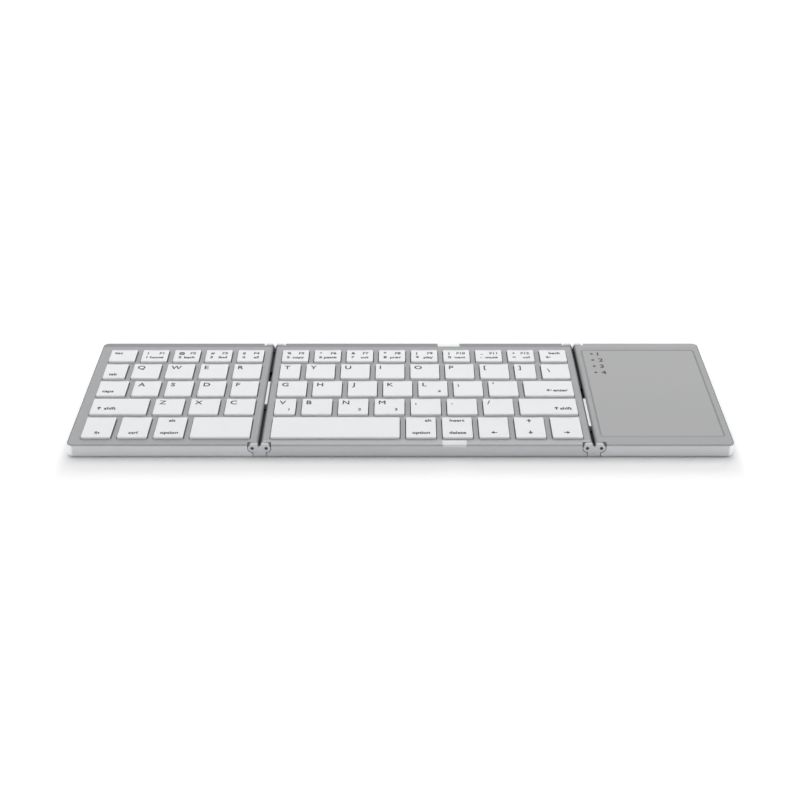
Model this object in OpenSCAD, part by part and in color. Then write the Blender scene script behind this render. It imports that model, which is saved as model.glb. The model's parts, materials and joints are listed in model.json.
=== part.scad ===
// Folding travel keyboard in three panels: a key wing on the left, a key panel in the
// middle and a touch wing on the right, open and flat on the table.
// X runs along the rows of keys, Y to the back and Z up. The origin is the middle of the
// footprint, at table height. All sizes are in millimetres.

/* [Panels] */
// Length of the left key wing, from its end to the hinge seam
left_l = 87.9; // [80:0.1:95]
// Length of the centre panel, seam to seam
centre_l = 152.7; // [146:0.1:165]
// Gap left between the two wing ends when both are folded in
fold_gap = 0.9; // [0.5:0.1:3]
// Depth of all three panels, front edge to back edge
deck_d = 100; // [92:0.1:110]
// Radius of the four outer corners, seen from above
corner_r = 3; // [2.5:0.5:6]
// Height of the deck above the table
deck_z = 7; // [7:0.1:8]
// Thickness of the deck skin
skin_t = 1; // [0.8:0.1:1.2]
// Radius along the upper edge of the deck
deck_edge_r = 0.5; // [0.3:0.1:0.6]
// Width of the sloped band along the back edge
bevel_w = 4.5; // [3:0.1:5]
// Drop of that band at the back edge
bevel_drop = 0.3; // [0.2:0.05:0.5]
// Depth of the shadow line between the deck and the metal cover on the centre panel
line_d = 0.3; // [0.2:0.1:0.4]
// Depth of that line on the two wings
wing_line_d = 0.1; // [0.05:0.05:0.4]
// Height of the shadow line
line_h = 0.2; // [0.15:0.05:0.25]

/* [Bottom covers] */
// Thickness of the walls of the metal covers
wall_t = 1.2; // [1:0.1:1.4]
// Thickness of their floors
floor_t = 1; // [0.8:0.1:1.2]
// Height of their rims above the underside of the deck skin
rim_h = 0.2; // [0:0.05:0.25]
// Radius along their lower edges
cover_edge_r = 0.8; // [0.6:0.1:1.4]
// Height of the rubber feet
foot_h = 0.3; // [0.3:0.1:0.8]
// Radius of the rubber feet
foot_r = 3.5; // [2.5:0.5:5]
// Distance of the feet from the panel ends
foot_inset = 11; // [9:0.5:14]
// Radius of the screws' shanks
screw_r = 0.5; // [0.4:0.05:0.55]
// Radius of their heads
screw_head_r = 1; // [0.9:0.05:1.1]
// Length of the screws under their heads
screw_l = 3.6; // [3:0.1:4]

/* [Keys] */
// Gap between two key caps
key_gap = 2.9; // [2.5:0.1:3.5]
// Gap between a key cap and the edge of its opening
cap_clear = 0.35; // [0.2:0.05:0.4]
// Distance from the front edge to the first row
front_margin = 4.8; // [3.7:0.1:5]
// Distance from the back edge to the last row
back_margin = 9.3; // [8:0.1:11]
// Distance from the left end to the first key
end_margin = 5.75; // [5:0.05:8]
// Distance from a hinge seam to the nearest key
seam_margin = 4.7; // [4.7:0.1:6]
// Depth of the caps in the space bar's row
space_row_d = 18.3; // [16:0.1:21]
// Depth of the caps in the number row
number_row_d = 12.2; // [10:0.1:13]
// Height of the cap tops above the deck
cap_proud = 1; // [0.7:0.1:1.1]
// Travel of a key
travel = 1.5; // [1:0.1:1.6]
// Depth that a cap reaches into the deck skin and below it
cap_reach = 1.1; // [1:0.1:1.3]
// Wall thickness of a cap
cap_t = 0.9; // [0.7:0.1:1]
// Corner radius of a cap, seen from above
cap_r = 0.8; // [0.6:0.1:1.5]
// Radius along the upper edge of a cap
cap_edge_r = 0.4; // [0.2:0.05:0.5]
// Depth of the finger dish in a key cap
dish = 0.2; // [0.1:0.05:0.3]
// Width of the widest cap that has a dish
dish_max_w = 16; // [15:1:20]

/* [Key widths] */
// Width of the tab key
tab_w = 11; // [9:0.1:13]
// Width of the caps lock key
caps_w = 14; // [12:0.1:16]
// Width of the left shift key
left_shift_w = 26.8; // [24:0.1:30]
// Width of the space key on the left wing
left_space_w = 27.6; // [24:0.1:30]
// Width of the half keys beside the left seam
half_w = 10; // [9:0.1:12]
// Width of the second bracket key
bracket_w = 10.4; // [9:0.1:13]
// Width of the backslash key
backslash_w = 13.8; // [12:0.1:16]
// Width of the enter key
enter_w = 23.8; // [20:0.1:27]
// Width of the right shift key
right_shift_w = 27.2; // [24:0.1:30]
// Width of the space key on the centre panel
right_space_w = 59.3; // [50:0.1:64]

/* [Hinges] */
// Distance of each hinge axis from the seam
axis_x = 3.2; // [3.2:0.05:3.4]
// Height of the hinge axes above the table
axis_z = 4.95; // [4.9:0.05:5]
// Width of the slot between two panels at the height of the axes
slot_w = 1.3; // [1.2:0.1:1.6]
// Running gap round the panels' barrels
barrel_gap = 0.3; // [0.25:0.05:0.4]
// Thickness of the end plates that hold the pins
plate_t = 2; // [1.6:0.1:2.4]
// Radius of the end plates round each axis
plate_r = 1.95; // [1.6:0.05:1.95]
// Width of the notch between the two lobes of an end plate, at the height of the axes
lobe_gap = 0.6; // [0.3:0.1:1]
// Radius of the hinge pins
pin_r = 0.8; // [0.6:0.05:0.8]
// Running clearance of the pins in the barrels
pin_clear = 0.05; // [0.03:0.01:0.08]
// Length of each pin inside its barrel
pin_grip = 10; // [6:0.5:16]
// Height of the spine's ridge between the barrels
ridge_z = 3; // [2.2:0.1:3.6]
// Height of the bright fin that shows in the slot
fin_z = 6.1; // [5:0.1:6.1]
// Place of the left hinge's fin, from the front edge to its front end
fin_l_front = 38.5; // [30:0.5:50]
// Place of the right hinge's fin, from the front edge to its front end
fin_r_front = 18; // [14:0.5:40]
// Length of the left hinge's fin
fin_l_len = 22.3; // [10:0.1:30]
// Length of the right hinge's fin
fin_r_len = 25.8; // [10:0.1:30]

/* [Thumb scoops] */
// Width of the scoops where the folded wings meet
scoop_w = 11.2; // [8:0.1:16]
// Distance of their middle from the line where the wings meet
scoop_shift = 0.7; // [-2:0.1:2]
// Length of the scoops from the edge of the deck inward
scoop_d = 3.7; // [2.5:0.1:3.7]
// Drop of the front scoop at the edge
scoop_drop = 1.4; // [0.8:0.1:1.6]
// Drop of the back scoop at the edge
back_scoop_drop = 0.7; // [0.6:0.1:1.6]

/* [Touch wing] */
// Margin between the front edge and the touch surface
touch_front_margin = 6.9; // [5:0.1:8]
// Margin between the touch surface and the back edge
touch_back_margin = 7.7; // [7.7:0.1:14]
// Margin between the seam and the touch surface
touch_seam_margin = 3.6; // [3.4:0.1:5]
// Margin between the touch surface and the outer end
touch_end_margin = 3.2; // [3:0.1:5]
// Corner radius of the touch surface
touch_r = 1.5; // [0.8:0.1:3]
// Thickness of the touch surface
touch_t = 0.6; // [0.5:0.05:0.65]
// Width of the ledge that carries it
ledge_w = 2; // [1.5:0.1:2.5]
// Thickness of that ledge
ledge_t = 0.7; // [0.6:0.1:0.8]
// Radius of the four indicator lenses
lens_r = 0.8; // [0.6:0.1:1]
// Distance between the lenses
lens_pitch = 6.5; // [5:0.1:8]
// Distance of the lenses from the two edges of the touch board
lens_inset = 1; // [0.8:0.1:3]
// Distance between the battery and the end of the flat cable
battery_gap = 5; // [3:0.5:10]
// Distance between the battery and the wing's outer end
battery_end_gap = 13; // [6:0.5:16]
// Length of the battery, front to back
battery_l = 48; // [40:1:52]
// Thickness of the battery
battery_t = 2.8; // [2:0.1:3]

/* [Electronics] */
// Thickness of the steel key plates
key_plate_t = 0.5; // [0.4:0.1:0.6]
// Thickness of the switch membranes
membrane_t = 0.3; // [0.2:0.05:0.4]
// Thickness of the circuit boards
board_t = 0.8; // [0.6:0.1:1]
// Distance between the main board and the screw bosses beside it
board_side_gap = 1.8; // [1:0.1:6]
// Length of the main board, front to back
main_board_l = 22; // [16:1:24]
// Width of the charging socket's shell
socket_w = 7.6; // [7:0.1:9]
// Height of its shell
socket_h = 2.6; // [2.4:0.1:3]
// Length of its shell
socket_l = 5.2; // [4.5:0.1:7]
// Wall thickness of its shell
socket_wall = 0.3; // [0.25:0.05:0.4]
// Width of the flat cables through the hinges
flex_w = 10; // [6:0.5:14]
// Thickness of the flat cables
flex_t = 0.2; // [0.15:0.05:0.3]

/* [Hidden] */
$fn = 48;
eps = 0.01;
big = 400;

// Panels
right_l = centre_l - left_l - fold_gap;
open_l = left_l + centre_l + right_l;
left_x = -open_l / 2;
seam_l = left_x + left_l;
seam_r = seam_l + centre_l;
right_x = open_l / 2;
half_d = deck_d / 2;
cover_z = deck_z - skin_t;
rim_z = cover_z + rim_h;
floor_z = foot_h + floor_t;
lip_gap = 0.1;
lip_t = 0.8;
lip_h = 1;

// Hinges
barrel_r = axis_x - slot_w / 2;
rail_x = seam_margin - cap_clear - 0.05;
swing_r = plate_r + barrel_gap;
swing_x = axis_x + swing_r;
swing_d = plate_t + barrel_gap;
spine_w = 2 * (axis_x - barrel_gap);
pin_hole_l = swing_d + pin_grip + 0.4;
block_x = swing_x + 1.2;
fin_l_y = [fin_l_front - half_d, fin_l_front - half_d + fin_l_len];
fin_r_y = [fin_r_front - half_d, fin_r_front - half_d + fin_r_len];
flex_l_y = fin_l_y[1] + 5 + flex_w / 2;
flex_r_y = fin_r_y[1] + 5 + flex_w / 2;
flex_reach = 8;
flex_z = floor_z + 0.25;
flex_slot = 0.5;

// Keys: the rows run from the number row at the back to the space row at the front,
// and a width of 0 stands for a key that shares what the others leave
row_d = (deck_d - front_margin - back_margin - space_row_d - number_row_d
    - 4 * key_gap) / 3;
rows_d = [number_row_d, row_d, row_d, row_d, space_row_d];
left_rows = [
    [0, 0, 0, 0, 0],
    [tab_w, 0, 0, 0, 0],
    [caps_w, 0, 0, 0, 0],
    [left_shift_w, 0, 0, 0],
    [0, 0, 0, left_space_w]
];
centre_rows = [
    [0, 0, 0, 0, 0, 0, 0, 0, 0],
    [half_w, 0, 0, 0, 0, 0, 0, bracket_w, backslash_w],
    [0, 0, 0, 0, 0, 0, 0, enter_w],
    [half_w, 0, 0, 0, 0, 0, 0, right_shift_w],
    [right_space_w, 0, 0, 0, 0, 0]
];
left_keys_x = [left_x + end_margin, seam_l - seam_margin];
centre_keys_x = [seam_l + seam_margin, seam_r - seam_margin];
cap_z = deck_z - cap_reach;
cap_h = cap_reach + cap_proud;
cap_top_t = 1;
dish_land = 0.3;

// Layers under the keys
plate_z = floor_z + 1.2;
membrane_z = plate_z + key_plate_t;
dome_z = membrane_z + membrane_t;
dome_h = travel + 0.7;
dome_r = 2.6;
stem_gap = 0.05;
stem_r = 1.4;
rib_t = 0.8;
rib_pitch = 34;

// Screws stand in the front and back margins, between the keys' openings and the walls
screw_front_y = -half_d + wall_t + 1.3;
screw_back_y = half_d - wall_t - 3;
screw_in = 12;
centre_screws_x = screws_x(seam_l + screw_in, seam_r - screw_in, 3);
left_screws_x = screws_x(left_x + screw_in, seam_l - screw_in, 2);
right_screws_x = screws_x(seam_r + screw_in, right_x - screw_in, 2);
boss_r = 1.2;
head_t = 0.5;

// Touch wing
touch_x = [seam_r + touch_seam_margin, right_x - touch_end_margin];
touch_y = [touch_front_margin - half_d, half_d - touch_back_margin];
touch_z = deck_z - 0.05 - touch_t;
touch_gap = 0.1;
ledge_lap = 0.5;
ledge_x = [seam_r + rail_x + 0.1, touch_x[1] + ledge_lap];
ledge_y = [touch_y[0] - ledge_lap, touch_y[1] + ledge_lap];
well_x = [ledge_x[0] + ledge_w, touch_x[1] - ledge_w];
well_y = [touch_y[0] + ledge_w, touch_y[1] - ledge_w];
board_gap = 0.3;
lens_x = well_x[0] + board_gap + lens_inset + lens_r;
lens_y = well_y[1] - board_gap - lens_inset - lens_r;
lens_gap = 0.05;
board_x = [right_screws_x[0] + boss_r + board_side_gap,
    right_screws_x[1] - boss_r - board_side_gap];
board_z = floor_z + 0.5;
board_y = [half_d - wall_t - 1 - main_board_l, half_d - wall_t - 1];
post_r = 1.5;
post_in = 3;
socket_x = (board_x[0] + board_x[1]) / 2;
battery_x = [seam_r + flex_reach + battery_gap, right_x - battery_end_gap];
battery_w = battery_x[1] - battery_x[0];
battery_y = well_y[0] + 3 + battery_l / 2;

// ---- functions ----

function sum_to(v, n, i = 0) = i >= n ? 0 : v[i] + sum_to(v, n, i + 1);
function shared(v) = len([for (w = v) if (w == 0) w]);
// Width of every key in a row that spans the two x values
function widths(row, span) =
    let (rest = span[1] - span[0] - sum_to(row, len(row)) - key_gap * (len(row) - 1))
    [for (w = row) w == 0 ? rest / shared(row) : w];
// Middle of key i in that row
function key_x(ws, span, i) = span[0] + sum_to(ws, i) + i * key_gap + ws[i] / 2;
// Middle of a row, counted from the back
function row_y(r) = half_d - back_margin - sum_to(rows_d, r) - r * key_gap - rows_d[r] / 2;
function screws_x(x0, x1, n) = [for (i = [0 : n - 1]) x0 + (x1 - x0) * i / (n - 1)];

// ---- general shapes ----

// Sweeps a profile drawn as (x, z) from y0 to y1
module along_y(y0, y1)
    translate([0, y1, 0]) rotate([90, 0, 0]) linear_extrude(y1 - y0) children();

// Sweeps a profile drawn as (y, z) from x0 to x1
module along_x(x0, x1)
    translate([x0, 0, 0]) rotate([90, 0, 90]) linear_extrude(x1 - x0) children();

// Box between two corners
module box(x, y, z)
    translate([x[0], y[0], z[0]]) cube([x[1] - x[0], y[1] - y[0], z[1] - z[0]]);

module round_rect(w, d, r) {
    square([w - 2 * r, d], center = true);
    square([w, d - 2 * r], center = true);
    for (sx = [-1, 1], sy = [-1, 1])
        translate([sx * (w / 2 - r), sy * (d / 2 - r)]) circle(r);
}

// Section of a slab's outer edge: x from 0 to its outer face at w, y from 0 to h
module edge_section(w, h, low_r, high_r)
    intersection() {
        square([w, h]);
        union() {
            if (low_r > 0) {
                square([w - low_r, low_r + eps]);
                translate([w - low_r, low_r]) circle(low_r);
            }
            if (high_r > 0) {
                translate([0, h - high_r - eps]) square([w - high_r, high_r + eps]);
                translate([w - high_r, h - high_r]) circle(high_r);
            }
            translate([0, low_r]) square([w, h - low_r - high_r]);
        }
    }

// Slab over the full depth of the panels from x0 to x1, inset from their outer faces.
// end is -1 where its left end is an outer end, 1 for its right end, 0 for neither.
module slab(x0, x1, z0, z1, inset, low_r, high_r, end) {
    r = corner_r - inset;
    hy = half_d - inset;
    h = z1 - z0;
    xa = end < 0 ? x0 + inset + r : x0;
    xb = end > 0 ? x1 - inset - r : x1;
    translate([0, 0, z0]) {
        along_x(xa, xb) for (m = [0, 1]) mirror([m, 0])
            edge_section(hy, h, low_r, high_r);
        if (end != 0) translate([end < 0 ? xa : xb, 0, 0]) mirror([end < 0 ? 1 : 0, 0, 0]) {
            along_y(r - hy, hy - r) edge_section(r, h, low_r, high_r);
            for (m = [0, 1]) mirror([0, m, 0]) translate([0, hy - r, 0])
                rotate_extrude(angle = 90) edge_section(r, h, low_r, high_r);
        }
    }
}

// Everything above the sloped band at the back edge
module above_bevel()
    along_x(-big, big) polygon([
        [half_d - bevel_w, deck_z], [half_d + 1, deck_z - bevel_drop * (1 + 1 / bevel_w)],
        [half_d + 1, deck_z + 2], [half_d - bevel_w, deck_z + 2]
    ]);

// Stands its children at a seam, with the panel on its right (1) or on its left (-1)
module at_seam(x, side)
    translate([x, 0, 0]) mirror([side < 0 ? 1 : 0, 0, 0]) children();

// Room at both ends of a seam in which the end plates of the hinge swing
module swing_room()
    for (m = [0, 1]) mirror([0, m, 0]) along_y(-half_d - 1, -half_d + swing_d) {
        translate([-big, -1]) square([big + axis_x, deck_z + 2]);
        translate([axis_x, axis_z]) circle(swing_r);
        translate([-big, axis_z]) square([big + swing_x, deck_z]);
    }

// Slope of one thumb scoop in the front edge of the centre panel
module scoop(drop) {
    x = seam_l + left_l + fold_gap / 2 + scoop_shift;
    along_x(x - scoop_w / 2, x + scoop_w / 2) polygon([
        [-half_d + scoop_d, deck_z], [-half_d - 1, deck_z - drop * (1 + 1 / scoop_d)],
        [-half_d - 1, deck_z + 1], [-half_d + scoop_d, deck_z + 1]
    ]);
}

// Both scoops: the back one is shallower, because the wings' back edges slope down there
module scoops() {
    scoop(scoop_drop);
    mirror([0, 1, 0]) scoop(back_scoop_drop);
}

// ---- keys ----

// Openings of a panel's keys in plan, grown by a clearance
module key_plan(rows, span, grow)
    for (r = [0 : len(rows) - 1]) {
        ws = widths(rows[r], span);
        for (i = [0 : len(ws) - 1]) translate([key_x(ws, span, i), row_y(r)])
            round_rect(ws[i] + 2 * grow, rows_d[r] + 2 * grow, cap_r + grow);
    }

// Section of a cap of width w: rounded upper corners, flat foot
module cap_section(w) {
    translate([-w / 2, 0]) square([w, cap_h - cap_edge_r]);
    translate([-w / 2 + cap_edge_r, 0]) square([w - 2 * cap_edge_r, cap_h]);
    for (s = [-1, 1]) translate([s * (w / 2 - cap_edge_r), cap_h - cap_edge_r])
        circle(cap_edge_r);
}

// One cap: a thin cup turned over, with a stem on its dome and a dish in its top
module cap(w, d) {
    dish_w = w - 2 * cap_edge_r - 2 * dish_land;
    dish_r = (dish_w * dish_w / 4 + dish * dish) / (2 * dish);
    difference() {
        intersection() {
            linear_extrude(cap_h) round_rect(w, d, cap_r);
            along_y(-d, d) cap_section(w);
            along_x(-w, w) cap_section(d);
        }
        translate([0, 0, -eps]) linear_extrude(cap_h - cap_top_t + eps)
            square([w - 2 * cap_t, d - 2 * cap_t], center = true);
        if (w <= dish_max_w) translate([0, 0, cap_h - dish + dish_r])
            rotate([90, 0, 0]) cylinder(h = 2 * d, r = dish_r, center = true, $fn = 200);
    }
    stem_z = dome_z + dome_h + stem_gap - cap_z;
    translate([0, 0, stem_z]) cylinder(h = cap_h - cap_top_t - stem_z, r = stem_r);
}

// Caps from number a to number b of a row
module caps(rows, span, r, a, b) {
    ws = widths(rows[r], span);
    color("whitesmoke") for (i = [a : b]) translate([key_x(ws, span, i), row_y(r), cap_z])
        cap(ws[i], rows_d[r]);
}

module left_caps(r, a, b) caps(left_rows, left_keys_x, r, a, b);
module centre_caps(r, a, b) caps(centre_rows, centre_keys_x, r, a, b);

module domes(rows, span)
    color("gainsboro") for (r = [0 : len(rows) - 1]) {
        ws = widths(rows[r], span);
        for (i = [0 : len(ws) - 1]) translate([key_x(ws, span, i), row_y(r), dome_z])
            cylinder(h = dome_h, r1 = dome_r, r2 = stem_r);
    }

module centre_domes() domes(centre_rows, centre_keys_x);
module left_domes() domes(left_rows, left_keys_x);

// ---- bottom covers ----

// Barrel of a panel along its seam and the web that stands under it. Solid blocks close
// the walls round the end plates, in front of one y and behind another.
module rail(front_to, back_from) {
    along_y(-half_d + swing_d, half_d - swing_d) intersection() {
        union() {
            translate([axis_x, axis_z]) circle(barrel_r, $fn = 72);
            translate([axis_x, foot_h]) square([rail_x - axis_x, cover_z - foot_h]);
        }
        translate([0, foot_h]) square([rail_x, cover_z - foot_h]);
    }
    for (y = [[-half_d + eps, front_to], [back_from, half_d - eps]])
        box([axis_x, block_x], y, [foot_h + floor_t / 2, cover_z]);
}

// The same beside keys, which leave the front and back margins free
module key_rail() rail(-half_d + front_margin - cap_clear - 0.1,
    half_d - back_margin + cap_clear + 0.7);

// Holes for the hinge pins and the pass for the flat cable, seen from the seam
module rail_cuts(flex_y) {
    for (m = [0, 1]) mirror([0, m, 0]) translate([axis_x, -half_d, axis_z])
        rotate([-90, 0, 0]) cylinder(h = pin_hole_l, r = pin_r + pin_clear);
    box([0, rail_x + 1], [flex_y - flex_w / 2 - flex_slot, flex_y + flex_w / 2 + flex_slot],
        [floor_z, axis_z - barrel_r + 0.2]);
}

// Ribs on the floor that carry the key plate
module floor_ribs(x0, x1) {
    n = floor((x1 - x0) / rib_pitch) + 1;
    for (i = [1 : n - 1]) translate([x0 + (x1 - x0) * i / n, 0, 0])
        box([-rib_t / 2, rib_t / 2], [-half_d + wall_t - eps, half_d - wall_t + eps],
            [floor_z - eps, plate_z]);
}

// Clearance holes and head recesses of the screws
module screw_holes(xs)
    for (x = xs, y = [screw_front_y, screw_back_y]) translate([x, y, 0]) {
        cylinder(h = deck_z, r = screw_r + 0.1);
        cylinder(h = foot_h + head_t, r = screw_head_r + 0.1);
    }

// Tray of a panel from x0 to x1, open at the top and at its seams
module cover_shell(x0, x1, end)
    difference() {
        slab(x0, x1, foot_h, rim_z, 0, cover_edge_r, 0, end);
        slab(x0 - (end < 0 ? 0 : 1), x1 + (end > 0 ? 0 : 1), floor_z, rim_z + 1,
            wall_t, 0, 0, end);
    }

module centre_bottom_cover()
    color("silver") difference() {
        union() {
            cover_shell(seam_l + axis_x, seam_r - axis_x, 0);
            at_seam(seam_l, 1) key_rail();
            at_seam(seam_r, -1) key_rail();
            floor_ribs(seam_l + rail_x, seam_r - rail_x);
        }
        at_seam(seam_l, 1) swing_room();
        at_seam(seam_r, -1) swing_room();
        at_seam(seam_l, 1) rail_cuts(flex_l_y);
        at_seam(seam_r, -1) rail_cuts(flex_r_y);
        screw_holes(centre_screws_x);
        scoops();
    }

module left_bottom_cover()
    color("silver") difference() {
        union() {
            cover_shell(left_x, seam_l - axis_x, -1);
            at_seam(seam_l, -1) key_rail();
            floor_ribs(left_x + wall_t, seam_l - rail_x);
        }
        at_seam(seam_l, -1) swing_room();
        at_seam(seam_l, -1) rail_cuts(flex_l_y);
        screw_holes(left_screws_x);
    }

module right_bottom_cover()
    color("silver") difference() {
        union() {
            cover_shell(seam_r + axis_x, right_x, 1);
            at_seam(seam_r, 1) rail(ledge_y[0] - 0.2, ledge_y[1] + 0.2);
            // posts under the main board
            for (x = [board_x[0] + post_in, board_x[1] - post_in],
                y = [board_y[0] + post_in, board_y[1] - post_in])
                translate([x, y, floor_z - eps])
                    cylinder(h = board_z - floor_z + eps, r = post_r);
        }
        at_seam(seam_r, 1) swing_room();
        at_seam(seam_r, 1) rail_cuts(flex_r_y);
        screw_holes(right_screws_x);
        // window of the charging socket
        box([socket_x - socket_w / 2 - 0.15, socket_x + socket_w / 2 + 0.15],
            [half_d - wall_t - 1, half_d + 1],
            [board_z + board_t - 0.15, board_z + board_t + socket_h + 0.15]);
    }

// ---- deck frames ----

// Skin of a panel with its locating lip; its rim overhangs the cover's, with a shadow
// line of a given depth between the two
module deck_shell(x0, x1, end, line) {
    slab(x0, x1, rim_z + line_h, deck_z, 0, 0, deck_edge_r, end);
    slab(x0, x1, rim_z, rim_z + line_h + eps, line, 0, 0, end);
    slab(x0, x1, cover_z, rim_z + eps, wall_t + lip_gap, 0, 0, end);
    // the lip stands inside the walls of the cover
    ya = half_d - wall_t - lip_gap;
    for (m = [0, 1]) mirror([0, m, 0])
        box([end < 0 ? x0 + corner_r : x0 + block_x, end > 0 ? x1 - corner_r : x1 - block_x],
            [ya - lip_t, ya], [cover_z - lip_h, cover_z + eps]);
    if (end != 0) {
        xe = end < 0 ? x0 + wall_t + lip_gap : x1 - wall_t - lip_gap - lip_t;
        box([xe, xe + lip_t], [corner_r - half_d, half_d - corner_r],
            [cover_z - lip_h, cover_z + eps]);
    }
}

// Edge of the skin over the barrel, seen from the seam
module deck_seam_edge()
    along_y(-half_d + swing_d, half_d - swing_d) intersection() {
        translate([axis_x, axis_z]) circle(barrel_r, $fn = 72);
        translate([0, cover_z]) square([axis_x + eps, skin_t]);
    }

module screw_bosses(xs)
    for (x = xs, y = [screw_front_y, screw_back_y]) translate([x, y, floor_z])
        cylinder(h = cover_z - floor_z + eps, r = boss_r);

module boss_holes(xs)
    for (x = xs, y = [screw_front_y, screw_back_y]) translate([x, y, floor_z - 1])
        cylinder(h = cover_z - floor_z + 0.6, r = screw_r);

module key_openings(rows, span)
    translate([0, 0, cover_z - lip_h - 1]) linear_extrude(skin_t + lip_h + 2)
        key_plan(rows, span, cap_clear);

module centre_deck_frame()
    color("silver") difference() {
        union() {
            deck_shell(seam_l + axis_x, seam_r - axis_x, 0, line_d);
            at_seam(seam_l, 1) deck_seam_edge();
            at_seam(seam_r, -1) deck_seam_edge();
            screw_bosses(centre_screws_x);
        }
        at_seam(seam_l, 1) swing_room();
        at_seam(seam_r, -1) swing_room();
        key_openings(centre_rows, centre_keys_x);
        boss_holes(centre_screws_x);
        above_bevel();
        scoops();
    }

module left_deck_frame()
    color("silver") difference() {
        union() {
            deck_shell(left_x, seam_l - axis_x, -1, wing_line_d);
            at_seam(seam_l, -1) deck_seam_edge();
            screw_bosses(left_screws_x);
        }
        at_seam(seam_l, -1) swing_room();
        key_openings(left_rows, left_keys_x);
        boss_holes(left_screws_x);
        above_bevel();
    }

module right_deck_frame()
    color("silver") difference() {
        union() {
            deck_shell(seam_r + axis_x, right_x, 1, wing_line_d);
            at_seam(seam_r, 1) deck_seam_edge();
            screw_bosses(right_screws_x);
            // ledge under the touch surface
            box(ledge_x, ledge_y, [touch_z - ledge_t, touch_z]);
        }
        at_seam(seam_r, 1) swing_room();
        translate([0, 0, touch_z]) linear_extrude(skin_t + 1) touch_plan(touch_gap);
        box(well_x, well_y, [touch_z - ledge_t - 1, touch_z + 1]);
        boss_holes(right_screws_x);
        // room for the charging socket under the lip
        box([socket_x - socket_w / 2 - 0.5, socket_x + socket_w / 2 + 0.5],
            [half_d - wall_t - socket_l, half_d - wall_t], [cover_z - lip_h - 1, cover_z]);
        above_bevel();
    }

// ---- layers under the keys ----

module layer(span, z, t, screw_xs)
    difference() {
        box([span[0] - 0.05, span[1] + 0.05],
            [-half_d + front_margin, half_d - back_margin], [z, z + t]);
        for (x = screw_xs, y = [screw_front_y, screw_back_y]) translate([x, y, z - 1])
            cylinder(h = t + 2, r = boss_r + 0.3);
    }

module centre_key_plate()
    color("dimgray") layer(centre_keys_x, plate_z, key_plate_t, centre_screws_x);
module left_key_plate()
    color("dimgray") layer(left_keys_x, plate_z, key_plate_t, left_screws_x);
module centre_membrane()
    color("black") layer(centre_keys_x, membrane_z, membrane_t, centre_screws_x);
module left_membrane()
    color("black") layer(left_keys_x, membrane_z, membrane_t, left_screws_x);

// ---- touch wing ----

module touch_plan(grow)
    translate([(touch_x[0] + touch_x[1]) / 2, (touch_y[0] + touch_y[1]) / 2])
        round_rect(touch_x[1] - touch_x[0] + 2 * grow, touch_y[1] - touch_y[0] + 2 * grow,
            touch_r + grow);

module touch_surface()
    color("lightgray") difference() {
        translate([0, 0, touch_z]) linear_extrude(touch_t) touch_plan(0);
        lens_set(lens_r + lens_gap, touch_z - 1, deck_z);
    }

module touch_board()
    color("darkgreen") box([well_x[0] + board_gap, well_x[1] - board_gap],
        [well_y[0] + board_gap, well_y[1] - board_gap], [touch_z - board_t, touch_z]);

// The column of four indicators beside the hinge, from its back end to the front
module lens_set(r, z0, z1)
    for (i = [0 : 3]) translate([lens_x, lens_y - i * lens_pitch, z0])
        cylinder(h = z1 - z0, r = r);

// Each lens stands on the touch board and fills its hole in the touch surface
module indicator_lenses()
    color("dimgray") lens_set(lens_r, touch_z, touch_z + touch_t);

module battery()
    color("dimgray") translate([battery_x[0] + battery_w / 2, battery_y, floor_z]) difference() {
        linear_extrude(battery_t) round_rect(battery_w, battery_l, 1.5);
        // sealed flap at the wire end, thinner than the cell
        translate([0, battery_l / 2 - 1.5, battery_t / 2 + 2]) cube([2 * battery_w, 3, 4],
            center = true);
    }

module main_board()
    color("darkgreen") box(board_x, board_y, [board_z, board_z + board_t]);

// Steel shell of the socket with its contact tongue
module charging_socket()
    color("silver") translate([socket_x, half_d - 0.2, board_z + board_t]) {
        difference() {
            box([-socket_w / 2, socket_w / 2], [-socket_l, 0], [0, socket_h]);
            box([-socket_w / 2 + socket_wall, socket_w / 2 - socket_wall],
                [-socket_l + socket_wall, 1], [socket_wall, socket_h - socket_wall]);
        }
        box([-socket_w / 2 + 1.6, socket_w / 2 - 1.6], [-socket_l + socket_wall, -0.6],
            [socket_h / 2 - 0.3, socket_h / 2 + 0.3]);
    }

// ---- hinges ----

// Section of the spine: a foot that rises between the two barrels to a given height
module spine_section(top)
    difference() {
        translate([-spine_w / 2, foot_h]) square([spine_w, top - foot_h]);
        for (s = [-1, 1]) translate([s * axis_x, axis_z])
            circle(barrel_r + barrel_gap, $fn = 72);
        // above the axes only the strip between the barrels stays
        for (s = [-1, 1]) translate([s * spine_w / 2, axis_z])
            translate([-spine_w / 4, 0]) square([spine_w / 2, deck_z]);
    }

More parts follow.
